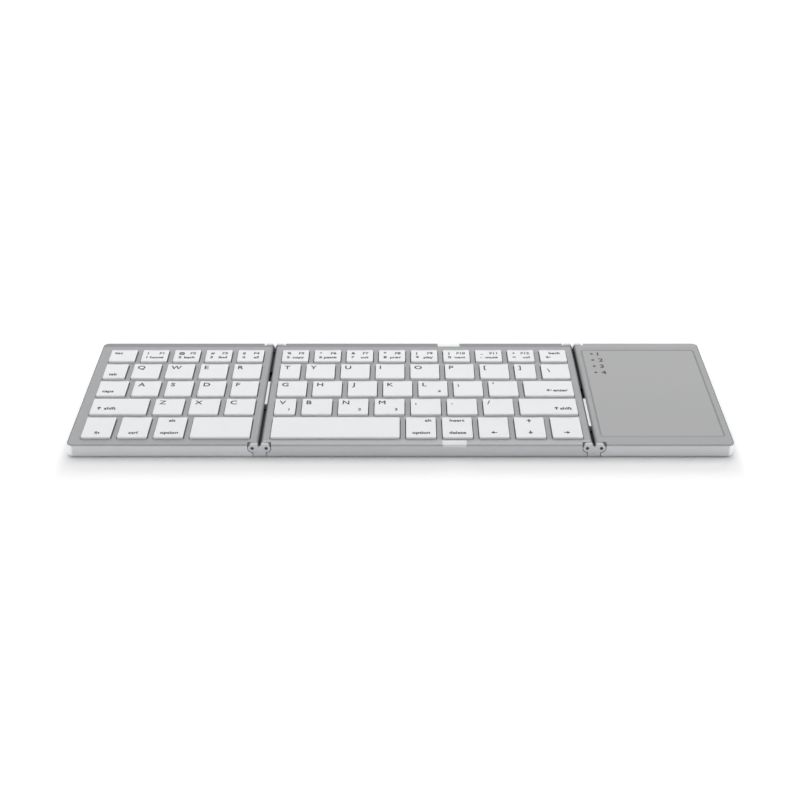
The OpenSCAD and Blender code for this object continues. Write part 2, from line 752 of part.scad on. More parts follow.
// The link between two panels: a ridged spine under both barrels and an end plate at
// each end, which holds one pin on each axis
module spine(fin_y, flex_y)
    difference() {
        intersection() {
            union() {
                along_y(-half_d, half_d) spine_section(ridge_z);
                along_y(fin_y[0], fin_y[1]) spine_section(fin_z);
                for (m = [0, 1]) mirror([0, m, 0]) along_y(-half_d, -half_d + plate_t) {
                    for (s = [-1, 1]) translate([s * axis_x, axis_z]) circle(plate_r);
                    translate([-axis_x, axis_z - plate_r]) square([2 * axis_x, 2 * plate_r]);
                    translate([-spine_w / 2, foot_h]) square([spine_w, axis_z - foot_h]);
                }
            }
            // the lower edges are rounded as the covers' are
            slab(-big, big, foot_h, deck_z, 0, cover_edge_r, 0, 0);
        }
        above_bevel();
        // pass of the flat cable
        box([-spine_w, spine_w], [flex_y - flex_w / 2 - flex_slot,
            flex_y + flex_w / 2 + flex_slot], [floor_z, deck_z]);
        // pin seats, and the notch that parts the two lobes of each end plate
        for (m = [0, 1]) mirror([0, m, 0]) {
            for (s = [-1, 1]) translate([s * axis_x, -half_d - 1, axis_z])
                rotate([-90, 0, 0]) cylinder(h = plate_t + 2, r = pin_r);
            along_y(-half_d - 1, -half_d + plate_t + eps) difference() {
                translate([-axis_x, axis_z]) square([2 * axis_x, deck_z]);
                for (s = [-1, 1]) translate([s * axis_x, axis_z])
                    circle(axis_x - lobe_gap / 2, $fn = 96);
            }
        }
    }

module pins()
    for (m = [0, 1], s = [-1, 1]) mirror([0, m, 0]) translate([s * axis_x, -half_d + 0.15, axis_z])
        rotate([-90, 0, 0]) cylinder(h = swing_d + pin_grip - 0.15, r = pin_r);

module left_hinge_spine() color("silver") translate([seam_l, 0, 0]) spine(fin_l_y, flex_l_y);
module right_hinge_spine() color("silver") translate([seam_r, 0, 0]) spine(fin_r_y, flex_r_y);
module left_hinge_pins() color("dimgray") translate([seam_l, 0, 0]) pins();
module right_hinge_pins() color("dimgray") translate([seam_r, 0, 0]) pins();

module flex(x, y)
    color("black") box([x - flex_reach, x + flex_reach], [y - flex_w / 2, y + flex_w / 2],
        [flex_z, flex_z + flex_t]);

module left_flex_cable() flex(seam_l, flex_l_y);
module right_flex_cable() flex(seam_r, flex_r_y);

// ---- feet and screws ----

module feet(x0, x1)
    color("dimgray") for (x = [x0 + foot_inset, x1 - foot_inset], m = [0, 1])
        mirror([0, m, 0]) translate([x, -half_d + foot_inset, 0])
            cylinder(h = foot_h, r = foot_r);

module centre_feet() feet(seam_l, seam_r);
module left_feet() feet(left_x, seam_l);
module right_feet() feet(seam_r, right_x);

module screws(xs)
    color("dimgray") for (x = xs, y = [screw_front_y, screw_back_y])
        translate([x, y, foot_h + 0.1]) {
            cylinder(h = head_t - 0.1, r = screw_head_r);
            cylinder(h = head_t - 0.1 + screw_l, r = screw_r);
        }

module centre_screws() screws(centre_screws_x);
module left_screws() screws(left_screws_x);
module right_screws() screws(right_screws_x);

// ---- nodes ----

centre_bottom_cover();
left_bottom_cover();
right_bottom_cover();
centre_deck_frame();
left_deck_frame();
right_deck_frame();
centre_key_plate();
left_key_plate();
centre_membrane();
left_membrane();
centre_domes();
left_domes();
touch_surface();
touch_board();
indicator_lenses();
battery();
main_board();
charging_socket();
left_hinge_spine();
right_hinge_spine();
left_hinge_pins();
right_hinge_pins();
left_flex_cable();
right_flex_cable();
centre_feet();
left_feet();
right_feet();
centre_screws();
left_screws();
right_screws();
// left wing keys
left_caps(0, 0, 0);  // key_esc
left_caps(0, 1, 4);  // keys_1_to_4
left_caps(1, 0, 0);  // key_tab
left_caps(1, 1, 4);  // keys_q_to_r
left_caps(2, 0, 0);  // key_caps
left_caps(2, 1, 4);  // keys_a_to_f
left_caps(3, 0, 0);  // key_left_shift
left_caps(3, 1, 3);  // keys_z_to_c
left_caps(4, 0, 0);  // key_fn
left_caps(4, 1, 1);  // key_ctrl
left_caps(4, 2, 2);  // key_alt
left_caps(4, 3, 3);  // key_left_space
// centre panel keys
centre_caps(0, 0, 3);  // keys_5_to_8
centre_caps(0, 4, 7);  // keys_9_to_equals
centre_caps(0, 8, 8);  // key_backspace
centre_caps(1, 0, 3);  // keys_t_to_i
centre_caps(1, 4, 7);  // keys_o_to_bracket
centre_caps(1, 8, 8);  // key_backslash
centre_caps(2, 0, 3);  // keys_g_to_k
centre_caps(2, 4, 6);  // keys_l_to_quote
centre_caps(2, 7, 7);  // key_enter
centre_caps(3, 0, 3);  // keys_v_to_m
centre_caps(3, 4, 6);  // keys_comma_to_slash
centre_caps(3, 7, 7);  // key_right_shift
centre_caps(4, 0, 0);  // key_right_space
centre_caps(4, 1, 1);  // key_right_alt
centre_caps(4, 2, 2);  // key_delete
centre_caps(4, 3, 3);  // key_left_arrow
centre_caps(4, 4, 4);  // key_up_down
centre_caps(4, 5, 5);  // key_right_arrow
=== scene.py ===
# Folding travel keyboard in three panels, dressed with its finishes and small parts.
# Everything is in metres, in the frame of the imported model.
import json

import bpy
import numpy as np
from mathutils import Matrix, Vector

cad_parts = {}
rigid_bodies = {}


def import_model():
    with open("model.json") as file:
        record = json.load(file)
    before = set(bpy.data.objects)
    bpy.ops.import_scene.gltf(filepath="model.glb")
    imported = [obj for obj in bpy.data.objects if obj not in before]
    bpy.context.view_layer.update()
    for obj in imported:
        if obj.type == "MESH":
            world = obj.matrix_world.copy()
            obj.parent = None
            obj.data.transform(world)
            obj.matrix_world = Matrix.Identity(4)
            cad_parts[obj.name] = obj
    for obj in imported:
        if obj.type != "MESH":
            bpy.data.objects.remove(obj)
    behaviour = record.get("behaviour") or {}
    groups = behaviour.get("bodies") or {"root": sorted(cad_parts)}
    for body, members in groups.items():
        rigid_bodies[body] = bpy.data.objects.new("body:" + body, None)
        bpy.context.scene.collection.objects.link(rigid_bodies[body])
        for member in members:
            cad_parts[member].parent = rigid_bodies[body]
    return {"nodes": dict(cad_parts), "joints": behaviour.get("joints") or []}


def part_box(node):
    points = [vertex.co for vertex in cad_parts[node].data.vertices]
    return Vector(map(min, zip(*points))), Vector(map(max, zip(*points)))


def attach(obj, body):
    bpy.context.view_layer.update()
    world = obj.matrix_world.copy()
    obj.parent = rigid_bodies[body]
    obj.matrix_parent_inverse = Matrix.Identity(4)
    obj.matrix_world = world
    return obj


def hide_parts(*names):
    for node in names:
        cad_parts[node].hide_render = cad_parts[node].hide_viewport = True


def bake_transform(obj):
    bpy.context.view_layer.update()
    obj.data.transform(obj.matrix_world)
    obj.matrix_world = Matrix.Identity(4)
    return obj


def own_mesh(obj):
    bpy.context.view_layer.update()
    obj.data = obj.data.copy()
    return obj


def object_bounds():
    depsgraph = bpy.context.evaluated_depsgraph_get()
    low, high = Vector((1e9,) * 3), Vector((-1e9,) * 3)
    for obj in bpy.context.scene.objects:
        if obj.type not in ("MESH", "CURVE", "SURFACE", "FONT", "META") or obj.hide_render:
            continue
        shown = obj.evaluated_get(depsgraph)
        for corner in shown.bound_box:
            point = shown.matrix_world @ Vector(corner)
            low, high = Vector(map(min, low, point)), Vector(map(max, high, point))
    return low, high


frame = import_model()
nodes = frame["nodes"]
cad_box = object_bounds()
MM = 0.001

# ---- studio ----
# A pale table, a camera that looks at the front edge from above, a pale world, and large
# soft lamps over and behind the keyboard, which lay its shadow towards the camera.

CAMERA_ELEVATION = np.radians(29.7)
CAMERA_DISTANCE = 0.696
CAMERA_AIM = Vector((-0.00023, -0.0091, 0.007))
CAMERA_LENS = 65.37  # in millimetres, on a sensor 36 mm wide

camera = bpy.data.objects.new("camera", bpy.data.cameras.new("camera"))
bpy.context.scene.collection.objects.link(camera)
camera.data.lens = CAMERA_LENS
camera.data.sensor_width = 36
camera.data.clip_start = 0.01
toward_camera = Vector((0, -np.cos(CAMERA_ELEVATION), np.sin(CAMERA_ELEVATION)))
camera.location = CAMERA_AIM + CAMERA_DISTANCE * toward_camera
camera.rotation_euler = toward_camera.to_track_quat("Z", "Y").to_euler()
bpy.context.scene.camera = camera
bpy.context.scene.view_settings.view_transform = "Standard"


def linear(hex_colour):
    """Linear RGBA of an sRGB colour written as six hex digits."""
    srgb = np.array([int(hex_colour[i:i + 2], 16) for i in (0, 2, 4)]) / 255
    rgb = np.where(srgb <= 0.04045, srgb / 12.92, ((srgb + 0.055) / 1.055) ** 2.4)
    return (*rgb.tolist(), 1.0)


def add_node(tree, kind, settings=None, links=None):
    """Adds a node. Settings go to its sockets or properties, links come from other outputs."""
    node = tree.nodes.new(kind)
    for name, value in (settings or {}).items():
        if isinstance(name, int) or name in node.inputs:
            node.inputs[name].default_value = value
        else:
            setattr(node, name, value)
    for name, output in (links or {}).items():
        tree.links.new(output, node.inputs[name])
    return node


def new_material(name, settings=None):
    """A material with one Principled surface; returns it with its tree and its shader."""
    material = bpy.data.materials.new(name)
    material.use_nodes = True
    tree = material.node_tree
    shader = tree.nodes["Principled BSDF"]
    for socket, value in (settings or {}).items():
        shader.inputs[socket].default_value = value
    return material, tree, shader


def add_lamp(name, place, width, depth, watts):
    """A rectangular area lamp that looks at the middle of the keyboard."""
    data = bpy.data.lights.new(name, "AREA")
    data.shape = "RECTANGLE"
    data.size = width
    data.size_y = depth
    data.energy = watts
    lamp = bpy.data.objects.new(name, data)
    lamp.location = place
    lamp.rotation_euler = Vector(place).to_track_quat("Z", "Y").to_euler()
    lamp.visible_glossy = False  # the pale world alone gives the sheen
    bpy.context.scene.collection.objects.link(lamp)


add_lamp("lamp_behind", (0, 1.06, 0.56), 1.6, 0.3, 6.0)
add_lamp("lamp_overhead", (0, 0.4, 1.1), 1.2, 1.0, 7.0)
add_lamp("lamp_front", (-0.3, -1.1, 0.45), 0.8, 0.4, 2.4)
add_lamp("lamp_left", (-0.9, 0.1, 0.3), 0.5, 0.2, 1.3)
add_lamp("lamp_right", (0.9, 0.1, 0.3), 0.5, 0.2, 2.0)

SKY_LIGHT = 0.24  # what the sky gives the keyboard, while the camera and glossy rays see white
world = bpy.data.worlds.new("world")
bpy.context.scene.world = world
world.use_nodes = True
sky = world.node_tree
sky.nodes.clear()
sky_path = add_node(sky, "ShaderNodeLightPath")
seen = add_node(sky, "ShaderNodeMath", {"operation": "MAXIMUM"},
                {0: sky_path.outputs["Is Camera Ray"], 1: sky_path.outputs["Is Glossy Ray"]})
strength = add_node(sky, "ShaderNodeMapRange", {"To Min": SKY_LIGHT, "To Max": 1.0},
                    {"Value": seen.outputs[0]})
background = add_node(sky, "ShaderNodeBackground", {"Color": (1, 1, 1, 1)},
                      {"Strength": strength.outputs[0]})
add_node(sky, "ShaderNodeOutputWorld", None, {"Surface": background.outputs[0]})

# for the camera and in reflections the table is pure white, so that only its shadow shows
TABLE_HALF = 6
table_mesh = bpy.data.meshes.new("table")
table_mesh.from_pydata([(-TABLE_HALF, -TABLE_HALF, 0), (TABLE_HALF, -TABLE_HALF, 0),
                        (TABLE_HALF, TABLE_HALF, 0), (-TABLE_HALF, TABLE_HALF, 0)],
                       [], [(0, 1, 2, 3)])
table = bpy.data.objects.new("table", table_mesh)
bpy.context.scene.collection.objects.link(table)
paper, tree, shader = new_material(
    "table_paper", {"Roughness": 0.9, "Emission Color": (1, 1, 1, 1)})
table_path = add_node(tree, "ShaderNodeLightPath")
looked_at = add_node(tree, "ShaderNodeMath", {"operation": "MAXIMUM"},
                     {0: table_path.outputs["Is Camera Ray"],
                      1: table_path.outputs["Is Glossy Ray"]})
table_white = add_node(tree, "ShaderNodeMix",
                       {"data_type": "RGBA", 6: linear("F0F0F0"), 7: (1, 1, 1, 1)},
                       {0: looked_at.outputs[0]})
tree.links.new(table_white.outputs[2], shader.inputs["Base Color"])


def distance_past(tree, centre, half, stretch=(1, 1, 0)):
    """Distance from a rectangle round a centre, 0 inside it, with X and Y weighed by stretch."""
    where = add_node(tree, "ShaderNodeTexCoord").outputs["Object"]
    for kind, value in (("SUBTRACT", centre), ("ABSOLUTE", None), ("SUBTRACT", half),
                        ("MAXIMUM", (0, 0, 0)), ("MULTIPLY", stretch), ("LENGTH", None)):
        settings = {"operation": kind} if value is None else {"operation": kind, 1: value}
        step = add_node(tree, "ShaderNodeVectorMath", settings, {0: where})
        where = step.outputs[0]
    return step.outputs["Value"]


# the lift towards white grows with the distance from the keyboard's footprint, faster past
# its two ends, and grows again where the lamps no longer reach
SHADOW_REACH = 40 * MM
SHADOW_LIFT = 0.2
SIDE_RISE = 6
LAMPS_FADE = 0.3
LAMPS_END = 1.0
away = distance_past(tree, (0, 0, 0), (cad_box[1].x, cad_box[1].y, 0), (SIDE_RISE, 1, 0))
near_rise = add_node(tree, "ShaderNodeMapRange",
                     {"From Max": SHADOW_REACH, "To Max": SHADOW_LIFT}, {"Value": away})
far_rise = add_node(tree, "ShaderNodeMapRange",
                    {"From Min": LAMPS_FADE, "From Max": LAMPS_END}, {"Value": away})
rise = add_node(tree, "ShaderNodeMath", {"operation": "ADD"},
                {0: near_rise.outputs[0], 1: far_rise.outputs[0]})
lift = add_node(tree, "ShaderNodeMath", {"operation": "MULTIPLY"},
                {0: looked_at.outputs[0], 1: rise.outputs[0]})
tree.links.new(lift.outputs[0], shader.inputs["Emission Strength"])
table_mesh.materials.append(paper)

# ---- metal bottom covers ----
# Three pressed aluminium trays, bead blasted and clear anodised. The blasting leaves a fine
# even grain, and the film takes the shine off the metal.

BLAST_GRAIN = 0.5 * MM  # real grit is near 0.1 mm, which is too fine to show
BATH_PATCH = 30 * MM


def object_noise(tree, size):
    """Noise over the object's own coordinates with lumps of about a given size in metres."""
    where = add_node(tree, "ShaderNodeTexCoord")
    return add_node(tree, "ShaderNodeTexNoise", {"Scale": 1 / size, "Detail": 2.0},
                    {"Vector": where.outputs["Object"]})


def add_grain(tree, shader, size, height, rough):
    """Fine grain that lifts the surface by a height and spreads its roughness over a range."""
    noise = object_noise(tree, size)
    bump = add_node(tree, "ShaderNodeBump", {"Strength": 1.0, "Distance": height},
                    {"Height": noise.outputs["Fac"]})
    tree.links.new(bump.outputs[0], shader.inputs["Normal"])
    spread = add_node(tree, "ShaderNodeMapRange", {"To Min": rough[0], "To Max": rough[1]},
                      {"Value": noise.outputs["Fac"]})
    tree.links.new(spread.outputs[0], shader.inputs["Roughness"])


def tint_slowly(tree, shader, size, dark, light):
    """Lets the base colour drift between two hex colours over patches of a given size, and
    returns the colour."""
    noise = object_noise(tree, size)
    mix = add_node(tree, "ShaderNodeMix",
                   {"data_type": "RGBA", 6: linear(dark), 7: linear(light)},
                   {0: noise.outputs["Fac"]})
    tree.links.new(mix.outputs[2], shader.inputs["Base Color"])
    return mix.outputs[2]


def paint_node(name, material):
    """Gives a CAD node its finish."""
    slots = nodes[name].data.materials
    slots.clear()
    slots.append(material)


# the wings' covers are tinted a little lighter than the centre's: painted light for the brighter
# light on their front faces
COVER_LIGHT_TINTS = {"left": ("CFD0D2", "D5D6D8"), "centre": ("C0C1C3", "C6C7C9"),
               "right": ("CBCCCE", "D1D2D4")}
for panel, (dark, light) in COVER_LIGHT_TINTS.items():
    anodised, tree, shader = new_material(
        f"bead_blasted_aluminium_{panel}", {"Metallic": 0.85})
    add_grain(tree, shader, BLAST_GRAIN, 0.01 * MM, (0.36, 0.48))
    base = tint_slowly(tree, shader, BATH_PATCH, dark, light)
    # the round corners, where the normal has both X and Y, get a painted highlight: the bright
    # reflection a rounded corner catches
    where = add_node(tree, "ShaderNodeTexCoord")
    normal = add_node(tree, "ShaderNodeSeparateXYZ", None, {0: where.outputs["Normal"]})
    both = add_node(tree, "ShaderNodeMath", {"operation": "MULTIPLY"},
                    {0: normal.outputs["X"], 1: normal.outputs["Y"]})
    both = add_node(tree, "ShaderNodeMath", {"operation": "ABSOLUTE"}, {0: both.outputs[0]})
    on_corner = add_node(tree, "ShaderNodeMapRange", {"From Min": 0.1, "From Max": 0.35},
                         {"Value": both.outputs[0]})
    corner_highlight = add_node(tree, "ShaderNodeMix", {"data_type": "RGBA", 7: linear("EEEFF0")},
                      {0: on_corner.outputs[0], 6: base})
    tree.links.new(corner_highlight.outputs[2], shader.inputs["Base Color"])
    paint_node(f"{panel}_bottom_cover", anodised)


# ---- rubber feet ----
# Twelve moulded rubber discs, glued under the covers. Their face is flat, their rim is
# rounded, and dust dulls them.

FOOT_RIM = 0.15 * MM
FOOT_GRAIN = 0.4 * MM  # the mould's own grain is three times finer, too fine to show
BODIES = {"left": "left_wing", "centre": "centre_panel", "right": "right_wing"}


def grid_faces(rings, points):
    """Quads between rings of points, each ring closed on itself; outside is to the left."""
    ring, point = np.meshgrid(np.arange(rings - 1), np.arange(points), indexing="ij")
    after = (point + 1) % points
    quads = np.stack([ring * points + point, ring * points + after,
                      (ring + 1) * points + after, (ring + 1) * points + point], axis=-1)
    return quads.reshape(-1, 4)


def pole_faces(pole, first, points, flip):
    """Triangles from one pole to a ring that starts at a given vertex."""
    point = np.arange(points)
    after = (point + 1) % points
    fan = np.stack([np.full(points, pole), first + point, first + after], axis=-1)
    return fan[:, ::-1] if flip else fan


def add_piece(name, parts, material, body=None, replaced=(), smooth=30):
    """Makes one object from lists of (vertices, faces...) and lets it ride on a body, if any."""
    vertices = []
    faces = []
    count = 0
    for points, *polygons in parts:
        vertices.append(points)
        for polygon in polygons:
            faces += (np.asarray(polygon) + count).tolist()
        count += len(points)
    mesh = bpy.data.meshes.new(name)
    mesh.from_pydata(np.concatenate(vertices), [], faces)
    mesh.shade_smooth()
    mesh.set_sharp_from_angle(angle=np.radians(smooth))
    mesh.materials.append(material)
    piece = bpy.data.objects.new(name, mesh)
    bpy.context.scene.collection.objects.link(piece)
    if body:
        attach(piece, body)
    if replaced:
        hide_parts(*replaced)
    return piece


def revolve(radii, heights, centre, points=48):
    """A profile (r, z) from its lower pole to its upper pole, turned about the Z axis."""
    angle = np.linspace(0, 2 * np.pi, points, endpoint=False)
    ring = np.stack([np.cos(angle), np.sin(angle)])
    shape = np.concatenate([np.multiply.outer(radii, ring),
                            np.broadcast_to(np.asarray(heights)[:, None, None],
                                            (len(radii), 1, points))], axis=1)
    body = shape.transpose(0, 2, 1).reshape(-1, 3)
    poles = np.array([[0, 0, heights[0]], [0, 0, heights[-1]]])
    vertices = np.concatenate([body, poles]) + np.asarray(centre)
    last = len(body)
    return (vertices, grid_faces(len(radii), points),
            pole_faces(last, 0, points, True),
            pole_faces(last + 1, (len(radii) - 1) * points, points, False))


def islands(name, axis, gap=0.5 * MM):
    """Spans along an axis that a node's triangles cover without a break: (low, high) rows."""
    mesh = nodes[name].data
    place = np.empty(len(mesh.vertices) * 3)
    mesh.vertices.foreach_get("co", place)
    corner = np.empty(len(mesh.loops), int)
    mesh.loops.foreach_get("vertex_index", corner)
    along = place.reshape(-1, 3)[corner, axis].reshape(-1, 3)
    low = along.min(axis=1)
    order = np.argsort(low)
    reach = np.maximum.accumulate(along.max(axis=1)[order])
    cut = np.flatnonzero(low[order][1:] > reach[:-1] + gap)
    return np.stack([low[order][np.r_[0, cut + 1]], reach[np.r_[cut, len(reach) - 1]]], axis=1)


rubber, tree, shader = new_material("foot_rubber", {"Specular IOR Level": 0.35})
add_grain(tree, shader, FOOT_GRAIN, 0.02 * MM, (0.6, 0.8))
tint_slowly(tree, shader, 3 * MM, "2C2D2F", "3A3B3D")
rim_angle = np.linspace(0, np.pi / 2, 5)
for panel, body in BODIES.items():
    name = f"{panel}_feet"
    low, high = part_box(name)
    discs = []
    for x_low, x_high in islands(name, 0):
        radius = (x_high - x_low) / 2
        for y_low, y_high in islands(name, 1):
            radii = np.concatenate([[radius * 0.5], radius - FOOT_RIM * (1 - np.sin(rim_angle)),
                                    [radius, radius * 0.5]])
            heights = np.concatenate([[0], FOOT_RIM * (1 - np.cos(rim_angle)),
                                      [high.z, high.z]])
            discs.append(revolve(radii, heights,
                                 ((x_low + x_high) / 2, (y_low + y_high) / 2, 0)))
    piece = add_piece(f"{panel}_rubber_feet", discs, rubber, body, [name])

# ---- cover screws ----
# Small steel screws with a flat head and a cross recess, blackened, sunk in the covers.

HEAD_HEIGHT = 0.4 * MM
SHANK_RADIUS = 0.5 * MM
RECESS_WIDTH = 0.28 * MM
RECESS_REACH = 0.62 * MM
RECESS_DEPTH = 0.3 * MM
RECESS_SLOPE = 0.05 * MM
HEAD_RINGS = 16
HEAD_POINTS = 64
FIRST_RING = 0.06  # share of the head's radius
TURNING_GRAIN = 0.3 * MM  # turning marks lie closer than this, but would not show

screw_steel, tree, shader = new_material(
    "blackened_steel", {"Metallic": 1.0, "Base Color": linear("58585B")})
add_grain(tree, shader, TURNING_GRAIN, 0.01 * MM, (0.3, 0.45))


def screw_head(x, y, face_z, top_z, radius):
    """A disc whose lower face is sunk where a cross passes: a polar grid of depths."""
    angle = np.linspace(0, 2 * np.pi, HEAD_POINTS, endpoint=False)
    reach = np.linspace(FIRST_RING, 1, HEAD_RINGS) * radius
    r, a = np.meshgrid(reach, angle, indexing="ij")
    px = r * np.cos(a)
    py = r * np.sin(a)
    across = np.minimum(abs(px), abs(py))
    along = np.maximum(abs(px), abs(py))
    depth = (np.clip((RECESS_WIDTH / 2 + RECESS_SLOPE - across) / RECESS_SLOPE, 0, 1)
             * np.clip((RECESS_REACH - along) / RECESS_SLOPE, 0, 1) * RECESS_DEPTH)
    face = np.stack([px, py, face_z + depth], axis=-1).reshape(-1, 3)
    rim = np.stack([radius * np.cos(angle), radius * np.sin(angle),
                    np.full(HEAD_POINTS, top_z)], axis=-1)
    poles = np.array([[0, 0, face_z + RECESS_DEPTH], [0, 0, top_z]])
    vertices = np.concatenate([face, rim, poles]) + (x, y, 0)
    last_ring = HEAD_RINGS * HEAD_POINTS
    first_pole = last_ring + HEAD_POINTS
    return (vertices, grid_faces(HEAD_RINGS + 1, HEAD_POINTS),
            pole_faces(first_pole, 0, HEAD_POINTS, True),
            pole_faces(first_pole + 1, last_ring, HEAD_POINTS, False))


for panel, body in BODIES.items():
    name = f"{panel}_screws"
    low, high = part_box(name)
    heads = []
    rows = islands(name, 1)
    for x_low, x_high in islands(name, 0):
        for y_low, y_high in rows:
            x = (x_low + x_high) / 2
            y = (y_low + y_high) / 2
            radius = (x_high - x_low) / 2
            heads.append(screw_head(x, y, low.z, low.z + HEAD_HEIGHT, radius))
            heads.append(revolve(np.array([SHANK_RADIUS, SHANK_RADIUS]),
                                 [low.z + HEAD_HEIGHT, high.z], (x, y, 0), 24))
    piece = add_piece(f"{panel}_cross_head_screws", heads, screw_steel, body, [name])

# ---- deck frames ----
# Moulded ABS frames round the keys and the touch surface, sprayed with a silver lacquer
# whose fine flakes give a satin grey.

BAND_WIDTH = 4.5 * MM
SCOOP_MIDDLE = 24.7 * MM
SCOOP_WIDTH = 11.2 * MM
SCOOP_REACH = 3.7 * MM
END_LINE = 0.7 * MM
FLAKE = 0.45 * MM  # real flakes are near 0.03 mm, which is too fine to show
BEYOND = 0.5  # a place well past every side of the keyboard
HAIR = 0.001 * MM


def inside(tree, low, high):
    """1 within the box between two corners, 0 past it and on faces that lie in its sides,
    because the box is taken a hair smaller all round."""
    half = (Vector(high) - Vector(low)) / 2
    past = distance_past(tree, Vector(low) + half, half - Vector((HAIR, HAIR, HAIR)), (1, 1, 1))
    return add_node(tree, "ShaderNodeMath", {"operation": "LESS_THAN", 1: HAIR / 2},
                    {0: past}).outputs[0]


lacquer, tree, shader = new_material("silver_lacquered_abs", {"Metallic": 0.45})
add_grain(tree, shader, FLAKE, 0.006 * MM, (0.38, 0.52))
base = tint_slowly(tree, shader, 0.6 * MM, "9E9FA1", "ABACAE")
# the band along the back edge is darker and the two thumb scoops are much lighter; the centre
# frame's front strip is lighter too, painted light for the light that falls on it
low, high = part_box("centre_deck_frame")
scoop_x = (SCOOP_MIDDLE - SCOOP_WIDTH / 2, SCOOP_MIDDLE + SCOOP_WIDTH / 2)
strip_y = low.y + SCOOP_REACH
TONES = (
    ("8C8D8F", (-BEYOND, high.y - BAND_WIDTH, -BEYOND), (high.x + 2 * MM, BEYOND, BEYOND)),
    ("B4B5B7", (low.x - MM, -BEYOND, -BEYOND), (high.x + MM, strip_y, BEYOND)),
    ("E8E9EA", (scoop_x[0], -BEYOND, -BEYOND), (scoop_x[1], strip_y, BEYOND)),
    ("E8E9EA", (scoop_x[0], high.y - SCOOP_REACH, -BEYOND), (scoop_x[1], BEYOND, BEYOND)),
)
for tone, box_low, box_high in TONES:
    base = add_node(tree, "ShaderNodeMix", {"data_type": "RGBA", 7: linear(tone)},
                    {0: inside(tree, box_low, box_high), 6: base}).outputs[2]
# the lacquer is darker along the two short ends
end_x = cad_box[1].x - END_LINE
between_ends = inside(tree, (-end_x, -BEYOND, -BEYOND), (end_x, BEYOND, BEYOND))
base = add_node(tree, "ShaderNodeMix", {"data_type": "RGBA", 6: linear("87888A")},
                {0: between_ends, 7: base}).outputs[2]
tree.links.new(base, shader.inputs["Base Color"])
for panel in BODIES:
    paint_node(f"{panel}_deck_frame", lacquer)

# ---- layers under the keys ----
# A black rolled steel plate and a black printed switch membrane. They show as the dark line
# between a key and its opening, and their black also paints the shade that falls into that gap.

steel_sheet, tree, shader = new_material(
    "black_plate_and_gap_shade", {"Metallic": 1.0, "Base Color": linear("3A3B3D")})
add_grain(tree, shader, 0.8 * MM, 0.01 * MM, (0.3, 0.4))
membrane_and_gap_shade, tree, shader = new_material("black_film_and_gap_shade", {"Roughness": 0.4})
tint_slowly(tree, shader, 4 * MM, "151617", "1E1F21")
for panel in ("left", "centre"):
    paint_node(f"{panel}_key_plate", steel_sheet)
    paint_node(f"{panel}_membrane", membrane_and_gap_shade)

# ---- silicone domes ----
# One hollow dome of milky silicone under each key: a flat foot, a thin sloping wall and a
# thick top. The wall collapses as the key goes down.

DOME_FOOT = 2.6 * MM
STEM_RADIUS = 1.4 * MM
silicone, tree, shader = new_material(
    "dome_silicone", {"Roughness": 0.5, "Subsurface Weight": 0.2})
tint_slowly(tree, shader, 2 * MM, "C9CAC8", "D6D7D5")
# radii as shares of the way from the stem to the foot, heights as shares of the dome's height,
# from the middle of the inner roof round the foot to the middle of the top
DOME_OUT = np.array([-0.6, -0.3, 0.45, 0.5, 1, 1, 0.75, 0.5, 0.1, 0, -0.08, -0.5])
DOME_UP = np.array([0.74, 0.7, 0.12, 0, 0, 0.1, 0.14, 0.4, 0.78, 0.95, 1, 1])
for joint in frame["joints"]:
    if joint["type"] != "slide":
        continue
    key = joint["child"]
    domes_node = joint["parent"].split("_")[0] + "_domes"
    foot_z, top_z = (corner.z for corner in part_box(domes_node))
    y = sum(corner.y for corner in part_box(key)) / 2
    radii = STEM_RADIUS + (DOME_FOOT - STEM_RADIUS) * DOME_OUT
    heights = foot_z + (top_z - foot_z) * DOME_UP
    domes = [revolve(radii, heights, (sum(span) / 2, y, 0), 16) for span in islands(key, 0)]
    piece = add_piece(f"{key}_dome", domes, silicone, joint["parent"], [domes_node], smooth=40)
    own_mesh(piece)

# ---- key caps ----
# Thin moulded caps in white ABS with a fine spark-eroded grain. Narrow caps have a shallow
# dish across them, and every upper edge is rounded, where it catches more light.

CAP_CORNER = 0.8 * MM
CAP_EDGE = 0.4 * MM
CAP_DISH = 0.2 * MM
CAP_LAND = 0.3 * MM
CAP_WALL = 0.9 * MM
CAP_TOP = 1.0 * MM
DISHED_WIDTH = 16 * MM
STEM_GAP = 0.05 * MM
SMALLEST_ARC = 0.05 * MM
SPARK_GRAIN = 0.5 * MM  # the real grain is near 0.05 mm, which is too fine to show
TOP_RINGS = (0.15, 0.4, 0.6, 0.75, 0.86, 0.94, 1)  # shares of the way out, denser near the edge


def rounded_loop(width, depth, radius, inset=0.0, corner_points=7, side_points=7):
    """Points round a rectangle with arcs at its corners and even steps along its sides."""
    radius = max(radius - inset, SMALLEST_ARC)
    half = np.array([width / 2 - inset - radius, depth / 2 - inset - radius])
    angle = np.linspace(0, np.pi / 2, corner_points)
    arcs = [half * sign + radius * np.stack([np.cos(angle + turn), np.sin(angle + turn)], 1)
            for sign, turn in (((1, 1), 0), ((-1, 1), np.pi / 2),
                               ((-1, -1), np.pi), ((1, -1), 3 * np.pi / 2))]
    sides = [np.linspace(arcs[i][-1], arcs[(i + 1) % 4][0], side_points + 2)[1:-1]
             for i in range(4)]
    return np.concatenate([np.concatenate([arcs[i], sides[i]]) for i in range(4)])


def dish_depth(x, width):
    """Depth of the dish at a distance from a cap's middle: a parabola across its width."""
    if width > DISHED_WIDTH:
        return np.zeros_like(x)
    half = width / 2 - CAP_EDGE - CAP_LAND
    return CAP_DISH * np.clip(1 - (x / half) ** 2, 0, 1)


